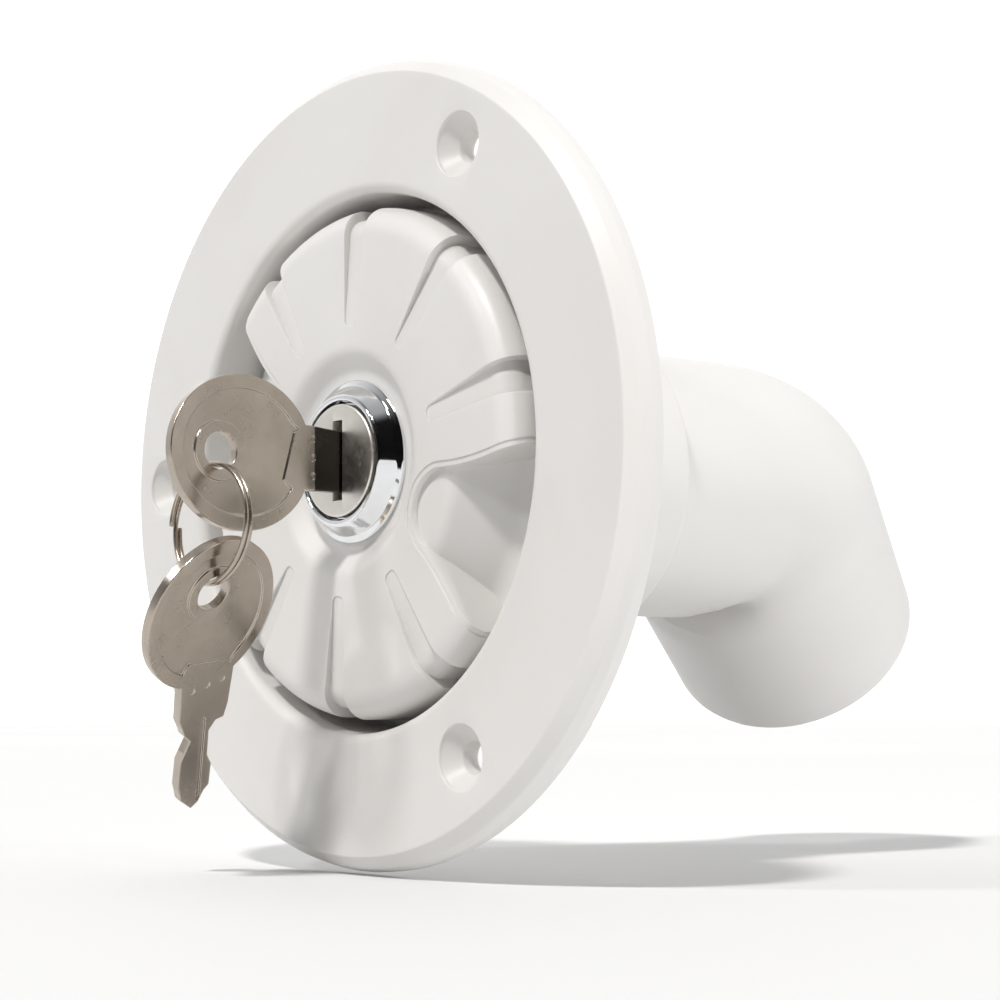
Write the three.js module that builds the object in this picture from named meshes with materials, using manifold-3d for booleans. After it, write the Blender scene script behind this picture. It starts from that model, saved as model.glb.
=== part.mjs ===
// Lockable recessed deck filler: flanged body with an elbow spigot, screw cap, cam lock and two keys.
// Millimetres. The origin is the centre of the flange's back face. +X is right and +Z is up as seen
// from outside, and +Y runs into the hull. The screw cap, the lock and the thread share the Y axis.
import * as THREE from 'three';
import { mergeVertices } from 'three/addons/utils/BufferGeometryUtils.js';
import Module from 'manifold-3d';

const wasm = await Module();
wasm.setup();

const DEGREE = Math.PI / 180;
const FULL_TURN = 2 * Math.PI;

// ---- driving dimensions -------------------------------------------------------------------------

const ROUND = { large: 40, medium: 28, small: 16 };   // facets round a full circle
const GAP = 0.3;                                       // clearance between pieces that touch

const flange = {
  radius: 68.7, front: -6, edgeWidth: 2.7, edgeDepth: 3.7, skin: 3, rimWall: 2.6,
  screwCircle: 57, screwHole: 2.6, countersink: 5.3, boss: 7, ribs: 12, ribWidth: 1.8,
};
const screwAngles = [60, 180, 300];

const recess = { mouth: 47.9, lip: 2, wall: 45.9, bottomWall: 45.2, floor: 10.3, shell: 2.7 };
const collar = { radius: 28.6, end: 46.7, bore: 25.6, boreEnd: 27, ledge: 22.3, socket: 24.8 };
const elbow = {
  start: 29.5, radius: 24.5, bore: 21.7, bendStart: 79.4, bendRadius: 18.6, bendAngle: 42, lean: 30,
  wide: 25.9, end: 24.6, straight: 37.1, rimRound: 1.2,
};

const thread = {
  lead: 5, start: 12.4, rootWidth: 2.4, crestWidth: 1.4,
  crestFemale: 24.2, turnsFemale: 0.95, crestMale: 25.1, turnsMale: 0.85,
};
const keeper = { inner: 20.8, halfGap: 4.3, thickness: 3, from: 18.3, to: 24 };

const cap = {
  face: -7.36, radius: 43.5, edge: 4.6, bottom: 8.6, turned: -22,
  dishRadius: 19, dishFloor: -4.7, seatRadius: 15, innerRadius: 40.4, crown: -4.7, crownAtLock: -1.6,
};
const channel = { start: 25, innerHalf: 1.3, outerHalf: 2.8, reach: 50, depth: 1.3, pitch: 36 };
const grip = { apex: 25.7, nose: 6.8, flank: 27, reach: 50, lipDepth: 1.3, edgeDepth: 9, wall: 2.5 };

const plugDisc = { radius: 39.9, from: 5, to: 8.2, hole: 17 };
const stem = { radius: 23.2, end: 18 };
const nose = { radius: 19.9, inner: 17.7, end: 24.5, wall: 2 };
const capScrews = { circle: 33.5, boss: 3.6, angles: [28, 108, 208, 288], head: 2.7, shank: 1.1 };

const lock = {
  face: -8.65, bezelBase: -4.9, bezelRadius: 13.9, bezelLip: 10.9, body: 11, flat: 10.2, back: 14.5,
  headRadius: 9.6, headBack: -6.9, plugRadius: 7.2, plugBack: 14.3, tailRadius: 4, tailFlat: 3,
  tailEnd: 17.4, bore: 7.5, broach: 8.6, broachHalf: 3.2,
};
const keyway = { half: 1.3, neckHalf: 6.8, neckDepth: 3.1, low: -5.3, high: 2.6, end: 12.2 };
const wafers = { count: 5, first: -3.4, pitch: 2.9, slot: 1.5, thickness: 1.1, half: 2.6, height: 6.6 };
const scroll = { rest: 7.6, throw: 4, sweep: 90, slotHalf: 1.85, radius: 15.4, from: 15, to: 17.2 };
const bolt = { low: 5.4, high: 19.4, half: 3.5, from: 17.7, to: 20.3, pin: 1.45 };

const key = {
  thickness: 1.8, bowLong: 14, bowWide: 12.9, bowCentre: 4.4, hole: 3.1, neckHalf: 5.5, holeToOrigin: -33,
  lowSide: [[24.2, -5.5], [26.4, -4.6], [27.6, -4.2], [29.3, -2.9], [31.4, -3.9], [33, -4.7], [38.4, -4.9]],
  tip: [[41.8, -4.1], [44.5, -1.8], [43.7, -0.3], [41.7, 0.8]],
  highSide: [[40.8, 1.9], [36.3, 2.1], [34, 1.1], [28.7, 1.1], [27.1, 2.4], [27.1, 4.1], [24.1, 4.9]],
};
const ring = {
  radius: 9.7, wire: 0.42, pitch: 0.92, turns: 2, centre: [0, -34.15, -11.95],
  right: [-1, -0.06, 0], up: [0, -0.07, -1],
};
const spareKey = { hole: [0.4, -34.6, -22.85], tip: [-0.55, 0.31, -0.78], across: [0.02, 0.93, 0.36] };

// ---- solids ---------------------------------------------------------------------------------------

/** Signed volume of an indexed mesh, negative when its faces point inwards. */
function signedVolume(points, triangles) {
  let sum = 0;
  const corner = (i) => new THREE.Vector3(points[3 * i], points[3 * i + 1], points[3 * i + 2]);
  for (let i = 0; i < triangles.length; i += 3) {
    const [a, b, c] = [corner(triangles[i]), corner(triangles[i + 1]), corner(triangles[i + 2])];
    sum += a.dot(b.cross(c)) / 6;
  }
  return sum;
}

/** A closed three.js geometry as a manifold solid with its faces pointing out. */
function solid(geometry) {
  const bare = geometry.clone();
  bare.deleteAttribute('normal');
  bare.deleteAttribute('uv');
  const merged = mergeVertices(bare, 1e-4);
  const points = Float32Array.from(merged.attributes.position.array);
  const triangles = [];
  const index = merged.index.array;
  for (let i = 0; i < index.length; i += 3) {
    const [a, b, c] = [index[i], index[i + 1], index[i + 2]];
    if (a !== b && b !== c && c !== a) triangles.push(a, b, c);
  }
  if (signedVolume(points, triangles) < 0) triangles.reverse();
  const mesh = new wasm.Mesh({
    numProp: 3, vertProperties: points, triVerts: Uint32Array.from(triangles),
  });
  return new wasm.Manifold(mesh);
}

/** A solid of revolution about Y from [radius, y] points; a profile off the axis closes on itself. */
function turned(profile, segments) {
  const points = profile.map(([r, y]) => new THREE.Vector2(r, y));
  if (profile[0][0] > 0) points.push(points[0].clone());
  return solid(new THREE.LatheGeometry(points, segments));
}

/** A shape drawn in X and Z, made solid from y = from to y = to. */
function prism(shape, from, to, curveSegments = 8) {
  const options = { depth: to - from, bevelEnabled: false, curveSegments };
  const geometry = new THREE.ExtrudeGeometry(shape, options);
  geometry.rotateX(Math.PI / 2);
  geometry.translate(0, to, 0);
  return solid(geometry);
}

function block([x0, x1], [y0, y1], [z0, z1]) {
  const geometry = new THREE.BoxGeometry(x1 - x0, y1 - y0, z1 - z0);
  geometry.translate((x0 + x1) / 2, (y0 + y1) / 2, (z0 + z1) / 2);
  return solid(geometry);
}

/** A round bar along Y, centred on x and z. */
function bar(radius, from, to, x = 0, z = 0, segments = ROUND.small) {
  const geometry = new THREE.CylinderGeometry(radius, radius, to - from, segments);
  geometry.translate(x, (from + to) / 2, z);
  return solid(geometry);
}

/** Points of an arc in a profile, centre (r, y), from angle a to angle b in degrees. */
function arc(r, y, radiusR, radiusY, a, b, steps) {
  return Array.from({ length: steps + 1 }, (_, i) => {
    const angle = (a + ((b - a) * i) / steps) * DEGREE;
    return [r + radiusR * Math.cos(angle), y + radiusY * Math.sin(angle)];
  });
}

/** A long bar of a profile in X and Y, with every point then placed by place(x, y, t), t from 0 to 1. */
function bentBar(shape, steps, curveSegments, place) {
  const options = { depth: 1, steps, bevelEnabled: false, curveSegments };
  const geometry = new THREE.ExtrudeGeometry(shape, options);
  const points = geometry.attributes.position;
  for (let i = 0; i < points.count; i++) {
    const p = place(points.getX(i), points.getY(i), points.getZ(i));
    points.setXYZ(i, p.x, p.y, p.z);
  }
  return solid(geometry);
}

const circle = (radius) => {
  const shape = new THREE.Shape();
  shape.absarc(0, 0, radius, 0, FULL_TURN, false);
  return shape;
};

const polygon = (corners) => new THREE.Shape(corners.map(([x, z]) => new THREE.Vector2(x, z)));

const joined = (...solids) => solids.reduce((whole, piece) => whole.add(piece));
const cut = (whole, ...pieces) => pieces.reduce((rest, piece) => rest.subtract(piece), whole);
const aboutY = (piece, degrees) => piece.rotate([0, -degrees, 0]);   // anticlockwise seen from outside

const group = new THREE.Group();

function addMesh(name, piece, material) {
  const mesh = piece.getMesh();
  const geometry = new THREE.BufferGeometry();
  geometry.setAttribute('position', new THREE.BufferAttribute(mesh.vertProperties, 3));
  geometry.setIndex(new THREE.BufferAttribute(mesh.triVerts, 1));
  geometry.computeVertexNormals();
  const part = new THREE.Mesh(geometry, material);
  part.name = name;
  group.add(part);
  return part;
}

// ---- materials ------------------------------------------------------------------------------------

const finish = (color, roughness, metalness) => (
  new THREE.MeshStandardMaterial({ color, roughness, metalness }));
const material = {
  white: finish(0xe3e1df, 0.45, 0),
  innerWhite: finish(0xd9d7d4, 0.55, 0),
  rubber: finish(0x26262a, 0.85, 0),
  chrome: finish(0xc9ccd0, 0.08, 1),
  plugFace: finish(0xd8d4cc, 0.35, 1),
  zinc: finish(0xa9abad, 0.4, 1),
  brass: finish(0xb8964f, 0.35, 1),
  steel: finish(0x9a9c9e, 0.35, 1),
  nickel: finish(0xb0a496, 0.25, 1),
};

// ---- filler body ----------------------------------------------------------------------------------

/** One helical ridge on a wall of the given radius, with ends that run out. */
function ridge(wall, crest, turns, phase) {
  const inward = Math.sign(crest - wall);
  const foot = wall - inward * 0.4;
  const shape = polygon([
    [foot, -thread.rootWidth / 2], [crest, -thread.crestWidth / 2],
    [crest, thread.crestWidth / 2], [foot, thread.rootWidth / 2],
  ]);
  const steps = Math.round(turns * ROUND.medium);
  return bentBar(shape, steps, 1, (x, y, t) => {
    const runOut = Math.min(1, Math.min(t, 1 - t) * turns * 8);
    const radius = foot + (x - foot) * (0.1 + 0.9 * runOut);
    const angle = phase * DEGREE + t * turns * FULL_TURN;
    const rise = thread.start + thread.lead * turns * t;
    return new THREE.Vector3(radius * Math.sin(angle), rise + y, radius * Math.cos(angle));
  });
}

function fillerBody() {
  const bowl = { radius: recess.wall + recess.shell, back: recess.floor + recess.shell };
  const bottom = recess.bottomWall + recess.shell;
  const outside = turned([
    [0, flange.front], [flange.radius - flange.edgeWidth - 12, flange.front],
    ...arc(flange.radius - flange.edgeWidth, flange.front + flange.edgeDepth, flange.edgeWidth,
      flange.edgeDepth, -90, 0, 5),
    [flange.radius, 0], [bowl.radius, 0], [bottom, bowl.back - 2], [bottom - 2, bowl.back],
    [collar.radius + 1.5, bowl.back], [collar.radius, bowl.back + 1.5],
    [collar.radius, collar.end - 1], [collar.radius - 1, collar.end], [0, collar.end],
  ], ROUND.large);
  const ledgeBack = elbow.start - GAP;
  const cavity = turned([
    [0, flange.front - 1], [recess.mouth, flange.front - 1],
    ...arc(recess.mouth, flange.front + recess.lip, -recess.lip, -recess.lip, 90, 0, 4),
    [recess.bottomWall, recess.floor - 1.5], [recess.bottomWall - 1.5, recess.floor],
    [collar.bore + 0.5, recess.floor], [collar.bore, recess.floor + 0.5],
    [collar.bore, collar.boreEnd], [collar.ledge, collar.boreEnd + 1], [collar.ledge, ledgeBack],
    [collar.socket, ledgeBack], [collar.socket, collar.end + 1], [0, collar.end + 1],
  ], ROUND.large);
  const pocketFrom = bowl.radius + 2;
  const pocketTo = flange.radius - flange.rimWall;
  const pocketTop = flange.front + flange.skin;
  const pocket = turned([
    [pocketFrom, pocketTop], [pocketTo, pocketTop + 0.4], [pocketTo, 1], [pocketFrom, 1],
  ], ROUND.large);
  const rib = block([48, 68], [-4, 0], [-flange.ribWidth / 2, flange.ribWidth / 2]);
  const ribPitch = 360 / flange.ribs;
  const ribs = Array.from({ length: flange.ribs }, (_, i) => aboutY(rib, ribPitch * (i + 0.5)));
  const places = screwAngles.map((angle) => (
    [flange.screwCircle * Math.cos(angle * DEGREE), flange.screwCircle * Math.sin(angle * DEGREE)]));
  const hollow = cut(pocket, ...ribs, ...places.map(([x, z]) => bar(flange.boss, -4, 0, x, z)));
  const screwHole = turned([
    [0, flange.front - 1], [flange.countersink, flange.front - 1], [flange.countersink, flange.front + 0.3],
    [flange.screwHole, flange.front + 3], [flange.screwHole, 1], [0, 1],
  ], ROUND.small);
  const screwHoles = places.map(([x, z]) => screwHole.translate([x, 0, z]));
  const keepers = [-1, 1].map((side) => {
    const edges = [side * keeper.halfGap, side * (keeper.halfGap + keeper.thickness)];
    return block(edges.sort((a, b) => a - b), [keeper.from, keeper.to], [keeper.inner, collar.bore + 1]);
  });
  const femaleThread = ridge(collar.bore, thread.crestFemale, thread.turnsFemale, 0);
  return joined(cut(outside, cavity, hollow, ...screwHoles), femaleThread, ...keepers);
}

addMesh('filler_body', fillerBody(), material.white);

// ---- hose elbow -----------------------------------------------------------------------------------

const bendAt = elbow.bendStart - elbow.start;
const bendLength = elbow.bendRadius * elbow.bendAngle * DEGREE;
const elbowEnd = bendAt + bendLength + elbow.straight;

/** Centre of the elbow at distance s from its start, with the directions across and up its section. */
function elbowLine(s) {
  const yAxis = new THREE.Vector3(0, 1, 0);
  const side = new THREE.Vector3(-Math.sin(elbow.lean * DEGREE), 0, -Math.cos(elbow.lean * DEGREE));
  const turn = Math.min(Math.max(s - bendAt, 0), bendLength) / elbow.bendRadius;
  const axis = yAxis.clone().multiplyScalar(Math.cos(turn)).addScaledVector(side, Math.sin(turn));
  const centre = yAxis.clone().multiplyScalar(elbow.start + Math.min(s, bendAt));
  centre.addScaledVector(yAxis, elbow.bendRadius * Math.sin(turn));
  centre.addScaledVector(side, elbow.bendRadius * (1 - Math.cos(turn)));
  centre.addScaledVector(axis, Math.max(s - bendAt - bendLength, 0));
  const across = new THREE.Vector3().crossVectors(side, yAxis);
  return { centre, across, up: new THREE.Vector3().crossVectors(across, axis) };
}

/** A solid round bar along the elbow through the given distances, with the radius that radiusAt gives. */
function elbowBar(distances, radiusAt) {
  const steps = distances.length - 1;
  return bentBar(circle(1), steps, ROUND.medium / 2, (x, y, t) => {
    const s = distances[Math.round(t * steps)];
    const line = elbowLine(s);
    const radius = radiusAt(s);
    return line.centre.addScaledVector(line.across, x * radius).addScaledVector(line.up, y * radius);
  });
}

/** Outer radius of the elbow: it widens through the bend, then has a draft and a rounded rim. */
function elbowRadius(s) {
  const widened = Math.min(Math.max((s - bendAt) / bendLength, 0), 1);
  const drafted = Math.max((s - bendAt - bendLength) / elbow.straight, 0);
  const rim = Math.max(s - (elbowEnd - elbow.rimRound), 0) / elbow.rimRound;
  const rounding = elbow.rimRound * (1 - Math.sqrt(1 - Math.min(rim, 1) ** 2)) * 0.8;
  return elbow.radius + (elbow.wide - elbow.radius) * widened - (elbow.wide - elbow.end) * drafted - rounding;
}

function hoseElbow() {
  const steps = 7;
  const bend = Array.from({ length: steps + 1 }, (_, i) => bendAt + (bendLength * i) / steps);
  const rim = [elbow.rimRound, elbow.rimRound * 0.3, 0].map((back) => elbowEnd - back);
  const outside = elbowBar([0, ...bend, ...rim], elbowRadius);
  return cut(outside, elbowBar([-1, ...bend, elbowEnd + 2], () => elbow.bore));
}

addMesh('hose_elbow', hoseElbow(), material.white);

// ---- screw cap ------------------------------------------------------------------------------------

/** Profile of the cap's outside, sunk by depth below its true surface, from the axis to the bottom. */
function capProfile(depth, dish) {
  const radius = cap.radius - depth;
  const top = cap.face + depth;
  const floor = cap.dishFloor + depth;
  const centre = dish ? [[0, floor], [cap.seatRadius, floor], [cap.dishRadius, top + 0.2]] : [[0, top]];
  return [...centre, [cap.dishRadius + 3, top],
    ...arc(cap.radius - cap.edge, cap.face + cap.edge, cap.edge - depth, cap.edge - depth, -90, 0, 5),
    [radius, cap.bottom], [0, cap.bottom]];
}

/** Outline of a finger recess or, grown, of the wall behind it. */
function gripShape(grow) {
  const radius = grip.nose + grow;
  const shape = new THREE.Shape();
  const flank = grip.flank * DEGREE;
  const run = (grip.reach - grip.apex) / Math.cos(flank);
  const foot = [grip.apex - radius * Math.sin(flank), radius * Math.cos(flank)];
  const end = [foot[0] + run * Math.cos(flank), foot[1] + run * Math.sin(flank)];
  shape.moveTo(end[0], end[1]);
  shape.lineTo(foot[0], foot[1]);
  shape.absarc(grip.apex, 0, radius, Math.PI / 2 + flank, 1.5 * Math.PI - flank, false);
  shape.lineTo(end[0], -end[1]);
  return shape;
}

/** Body under the floor of the finger recesses: the floor falls away from the apex to the rim. */
function gripFloor(sink) {
  const apex = grip.apex - grip.nose;
  const fall = (share) => cap.face + grip.lipDepth + (grip.edgeDepth - grip.lipDepth) * share + sink;
  const steps = [0, 0.25, 0.5, 0.75, 1];
  return turned([
    [0, fall(0)],
    ...steps.map((t) => [apex + (cap.radius - apex) * t, fall(t ** 1.7)]),
    [60, fall(1)], [60, 30], [0, 30],
  ], ROUND.large);
}

function capCover() {
  const outside = turned(capProfile(0, true), ROUND.large);
  const inside = turned([
    [0, cap.crownAtLock], [cap.seatRadius + 2, cap.crownAtLock], [cap.dishRadius + 3, cap.crown],
    [cap.innerRadius - 4, cap.crown], [cap.innerRadius, cap.crown + 4], [cap.innerRadius, cap.bottom + 1],
    [0, cap.bottom + 1],
  ], ROUND.large);
  const gripAngles = [cap.turned, cap.turned + 180];
  const gripWalls = gripAngles.map((angle) => (
    aboutY(cut(prism(gripShape(grip.wall), -20, 20), gripFloor(grip.wall)), angle)));
  const grips = gripAngles.map((angle) => aboutY(cut(prism(gripShape(0), -20, 20), gripFloor(0)), angle));
  const bossEnd = plugDisc.from - GAP;
  const bosses = capScrews.angles.map((angle) => bossAt(angle, capScrews.boss, cap.crown - 1, bossEnd));
  const pilots = capScrews.angles.map((angle) => bossAt(angle, capScrews.shank + GAP, -2.5, plugDisc.from));
  const hollow = cut(inside, ...gripWalls, ...bosses);
  const channelFloor = turned([[0, cap.face], ...capProfile(channel.depth, false).slice(1)], ROUND.large);
  const slot = polygon([[channel.start, -channel.innerHalf], [channel.reach, -channel.outerHalf],
    [channel.reach, channel.outerHalf], [channel.start, channel.innerHalf],
    [channel.start - 0.8, channel.innerHalf * 0.6], [channel.start - 0.8, -channel.innerHalf * 0.6]]);
  const channelCut = cut(prism(slot, -20, cap.bottom + 1), channelFloor);
  const channels = [1, 2, 3, 4, 6, 7, 8, 9].map((i) => aboutY(channelCut, cap.turned + i * channel.pitch));
  const lockHole = bar(lock.body + GAP, -20, 10, 0, 0, ROUND.medium)
    .intersect(block([-lock.flat - GAP, lock.flat + GAP], [-20, 10], [-20, 20]));
  const sealSeat = bar(13, -20, cap.dishFloor + 1, 0, 0, ROUND.medium);
  return cut(outside, hollow, ...pilots, ...grips, ...channels, lockHole, sealSeat);
}

function bossAt(angle, radius, from, to) {
  const turn = angle * DEGREE;
  return bar(radius, from, to, capScrews.circle * Math.cos(turn), capScrews.circle * Math.sin(turn), 16);
}

addMesh('cap_cover', capCover(), material.white);

function capPlug() {
  const outside = turned([
    [0, plugDisc.from], [plugDisc.radius, plugDisc.from], [plugDisc.radius, plugDisc.to],
    [stem.radius, plugDisc.to], [stem.radius, stem.end], [nose.radius, stem.end + 0.6],
    [nose.radius, nose.end - 1], [nose.radius - 1, nose.end], [0, nose.end],
  ], ROUND.large);
  const inside = turned([
    [0, plugDisc.from - 1], [plugDisc.hole, plugDisc.from - 1], [plugDisc.hole, plugDisc.to],
    [nose.inner, plugDisc.to + 1], [nose.inner, nose.end - nose.wall], [0, nose.end - nose.wall],
  ], ROUND.large);
  const window = block([-bolt.half - GAP, bolt.half + GAP], [bolt.from - GAP, bolt.to + GAP],
    [nose.inner - 2, 24]);
  const rails = [-1, 1].map((side) => {
    const x = [side * (bolt.half + GAP), side * (bolt.half + GAP + 2)].sort((a, b) => a - b);
    return block(x, [bolt.from, nose.end - 1], [5, nose.inner + 1]);
  });
  const bed = block([-bolt.half - 1, bolt.half + 1], [bolt.to + GAP, nose.end - 1], [5, nose.inner + 1]);
  const counterbores = capScrews.angles.flatMap((angle) => [
    bossAt(angle, capScrews.head + 0.4, plugDisc.to - 1.9, plugDisc.to + 1),
    bossAt(angle, capScrews.shank + 0.4, plugDisc.from - 1, plugDisc.to),
  ]);
  const maleThread = ridge(stem.radius, thread.crestMale, thread.turnsMale, 180);
  return cut(joined(cut(outside, inside), ...rails, bed, maleThread), window, ...counterbores);
}

addMesh('cap_plug', capPlug(), material.innerWhite);

const gasket = { inner: 26.4, outer: 33 };
addMesh('cap_gasket', turned([
  [gasket.inner, plugDisc.to + GAP], [gasket.outer, plugDisc.to + GAP],
  [gasket.outer, recess.floor - GAP], [gasket.inner, recess.floor - GAP],
], ROUND.medium), material.rubber);

/** A self-tapping pan-head screw: head towards +Y, with a cross slot. */
function capScrew(angle) {
  const head = plugDisc.to - 0.2;
  const profile = [[0, -1.6], [capScrews.shank, -0.4], [capScrews.shank, head - 1.5],
    [capScrews.head, head - 1.4], [capScrews.head, head - 0.6], [capScrews.head - 0.7, head], [0, head]];
  const slots = [[1.7, 0.35], [0.35, 1.7]].map(([x, z]) => block([-x, x], [head - 0.8, head + 1], [-z, z]));
  const turn = angle * DEGREE;
  return cut(turned(profile, 12), ...slots)
    .translate([capScrews.circle * Math.cos(turn), 0, capScrews.circle * Math.sin(turn)]);
}

capScrews.angles.forEach((angle, i) => addMesh(`cap_screw_${i + 1}`, capScrew(angle), material.steel));

// ---- lock -----------------------------------------------------------------------------------------

function lockBarrel() {
  const casing = turned([
    [lock.headRadius + GAP, lock.face], [lock.bezelLip, lock.face], [lock.bezelLip + 0.8, lock.face + 0.5],
    [lock.bezelRadius - 0.9, lock.bezelBase - 1], [lock.bezelRadius, lock.bezelBase - 0.8],
    [lock.bezelRadius, lock.bezelBase], [lock.body, lock.bezelBase], [lock.body, lock.back],
    [lock.bore, lock.back], [lock.bore, lock.headBack + GAP], [lock.headRadius + GAP, lock.headBack + GAP],
  ], ROUND.medium);
  const flats = [-1, 1].map((side) => {
    const x = [side * lock.flat, side * (lock.flat + 9)].sort((a, b) => a - b);
    return block(x, [lock.bezelBase + 0.01, 30], [-20, 20]);
  });
  const across = [-lock.broachHalf, lock.broachHalf];
  const broach = block(across, [-5.2, lock.back - 2], [-lock.broach, lock.broach]);
  const broaches = [0, 90].map((angle) => aboutY(broach, angle));
  return cut(casing, ...flats, ...broaches);
}

addMesh('lock_barrel', lockBarrel(), material.chrome);
const seal = [[11.5, -4.6], [12.6, -4.6], [12.8, -4.3], [12.6, -4], [11.5, -4]];
addMesh('lock_o_ring', turned(seal, ROUND.medium), material.rubber);

const nut = { flats: 13.5, from: cap.crownAtLock + GAP, height: 3.4 };
function lockNut() {
  const corners = Array.from({ length: 6 }, (_, i) => {
    const angle = (i + 0.5) * 60 * DEGREE;
    const reach = nut.flats / Math.cos(30 * DEGREE);
    return [reach * Math.cos(angle), reach * Math.sin(angle)];
  });
  const hexagon = prism(polygon(corners), nut.from, nut.from + nut.height);
  return cut(hexagon, bar(lock.body + GAP, -10, 10, 0, 0, ROUND.medium));
}

addMesh('lock_nut', lockNut(), material.zinc);

const waferPlaces = Array.from({ length: wafers.count }, (_, i) => wafers.first + i * wafers.pitch);
const spring = { x: 4.1, radius: 0.5, wire: 0.12, low: -0.7, high: 2.7, coils: 4 };

function lockPlug() {
  const turnedBody = turned([
    [0, lock.face], [lock.headRadius - 0.3, lock.face], [lock.headRadius, lock.face + 0.3],
    [lock.headRadius, lock.headBack], [lock.plugRadius, lock.headBack], [lock.plugRadius, lock.plugBack],
    [lock.tailRadius, lock.plugBack], [lock.tailRadius, lock.tailEnd], [0, lock.tailEnd],
  ], ROUND.medium);
  const tailFlats = [-1, 1].map((side) => {
    const x = [side * lock.tailFlat, side * 9].sort((a, b) => a - b);
    return block(x, [lock.plugBack, 30], [-9, 9]);
  });
  const slots = waferPlaces.flatMap((y) => {
    const span = [y - wafers.slot / 2, y + wafers.slot / 2];
    return [block([-wafers.half - GAP, wafers.half + GAP], span, [-9, 9]), block([2, 5.3], span, [-4.3, 3])];
  });
  const wide = [-keyway.half, keyway.half];
  return cut(turnedBody, ...tailFlats, ...slots,
    block(wide, [-20, lock.face + keyway.neckDepth], [-keyway.neckHalf, keyway.neckHalf]),
    block(wide, [-20, keyway.end], [keyway.low, keyway.high]),
    bar(1.95, keyway.end + 0.7, 30, 0, 0, 12));
}

addMesh('lock_plug', lockPlug(), material.plugFace);

/** A wafer: a plate with a window round the blade, and an ear that its spring pushes down. */
function wafer(y) {
  const span = [y - wafers.thickness / 2, y + wafers.thickness / 2];
  const plate = joined(
    block([-wafers.half, wafers.half], span, [-wafers.height, wafers.height]),
    block([wafers.half - 0.5, 5], span, [-2.6, -1]));
  return cut(plate, block([-1.6, 1.6], [y - 2, y + 2], [-5.2, 3.9]));
}

class Helix extends THREE.Curve {
  constructor(radius, rise, turns) {
    super();
    Object.assign(this, { radius, rise, turns });
  }

  getPoint(t, target = new THREE.Vector3()) {
    const angle = t * this.turns * FULL_TURN;
    return target.set(this.radius * Math.cos(angle), this.radius * Math.sin(angle), this.rise * (t - 0.5));
  }
}

function coil(helix, wireRadius, stepsPerTurn, sides) {
  const geometry = new THREE.ExtrudeGeometry(circle(wireRadius), {
    steps: Math.round(helix.turns * stepsPerTurn),
    extrudePath: helix,
    bevelEnabled: false,
    curveSegments: sides / 2,
  });
  return solid(geometry);
}

waferPlaces.forEach((y, i) => {
  addMesh(`wafer_${i + 1}`, wafer(y), material.brass);
  const height = spring.high - spring.low - 2 * spring.wire;
  const wound = coil(new Helix(spring.radius, height, spring.coils), spring.wire, 8, 4)
    .translate([spring.x, y, (spring.high + spring.low) / 2]);
  addMesh(`wafer_spring_${i + 1}`, wound, material.steel);
});

/** Cam disc whose spiral slot moves the bolt's pin outwards as the disc turns clockwise. */
function lockCam() {
  const disc = bar(scroll.radius, scroll.from, scroll.to, 0, 0, ROUND.medium);
  const tailHole = bar(lock.tailRadius + GAP, 0, 30)
    .intersect(block([-lock.tailFlat - GAP, lock.tailFlat + GAP], [0, 30], [-9, 9]));
  const steps = 12;
  const beyond = 15;
  const spiral = Array.from({ length: steps + 1 }, (_, i) => {
    const angle = -beyond + ((scroll.sweep + 2 * beyond) * i) / steps;
    const reach = scroll.rest + (scroll.throw * angle) / scroll.sweep;
    const turn = (90 + angle) * DEGREE;
    return { reach, turn };
  });
  const side = (offset) => spiral.map(({ reach, turn }) => (
    [(reach + offset) * Math.cos(turn), (reach + offset) * Math.sin(turn)]));
  const slot = prism(polygon([...side(scroll.slotHalf), ...side(-scroll.slotHalf).reverse()]), 10, 20);
  return cut(disc, tailHole, slot);
}

addMesh('lock_cam', lockCam(), material.steel);
addMesh('lock_bolt', joined(
  block([-bolt.half, bolt.half], [bolt.from, bolt.to], [bolt.low, bolt.high]),
  bar(bolt.pin, scroll.from + 0.4, bolt.from + 0.5, 0, scroll.rest, 12)), material.zinc);
addMesh('cam_washer', cut(bar(4.2, 17.7, 18.4), bar(2, 17, 19, 0, 0, 12)), material.steel);
addMesh('cam_screw', cut(
  turned([[0, 13.3], [1.6, 13.3], [1.6, 18.7], [3.6, 18.7], [3.6, 20.2], [2.9, 21], [0, 21]], ROUND.small),
  block([-2.2, 2.2], [20, 22], [-0.45, 0.45]), block([-0.45, 0.45], [20, 22], [-2.2, 2.2])), material.steel);

// ---- keys and ring --------------------------------------------------------------------------------

/** Key outline in its own plane: u from the bow hole to the tip, v across, bitting on the low side. */
function keyOutline() {
  const shape = new THREE.Shape();
  const turn = Math.asin(key.neckHalf / key.bowWide);
  shape.absellipse(key.bowCentre, 0, key.bowLong, key.bowWide, turn, FULL_TURN - turn, false, 0);
  for (const [u, v] of [...key.lowSide, ...key.tip, ...key.highSide]) shape.lineTo(u, v);
  shape.closePath();
  const hole = new THREE.Path();
  hole.absarc(0, 0, key.hole, 0, FULL_TURN, true);
  shape.holes.push(hole);
  return shape;
}

/** The key lying in X and Y, centred on its thickness. */
function keyBlank() {
  const options = { depth: key.thickness, bevelEnabled: false, curveSegments: 20 };
  const geometry = new THREE.ExtrudeGeometry(keyOutline(), options);
  geometry.translate(0, 0, -key.thickness / 2);
  return solid(geometry);
}

/** Places a part drawn about the origin, with its local X and Y along the two given directions. */
function place(part, origin, alongX, alongY) {
  const x = new THREE.Vector3(...alongX).normalize();
  const z = new THREE.Vector3().crossVectors(x, new THREE.Vector3(...alongY)).normalize();
  part.applyMatrix4(new THREE.Matrix4().makeBasis(x, new THREE.Vector3().crossVectors(z, x), z));
  part.position.set(...origin);
}

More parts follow.
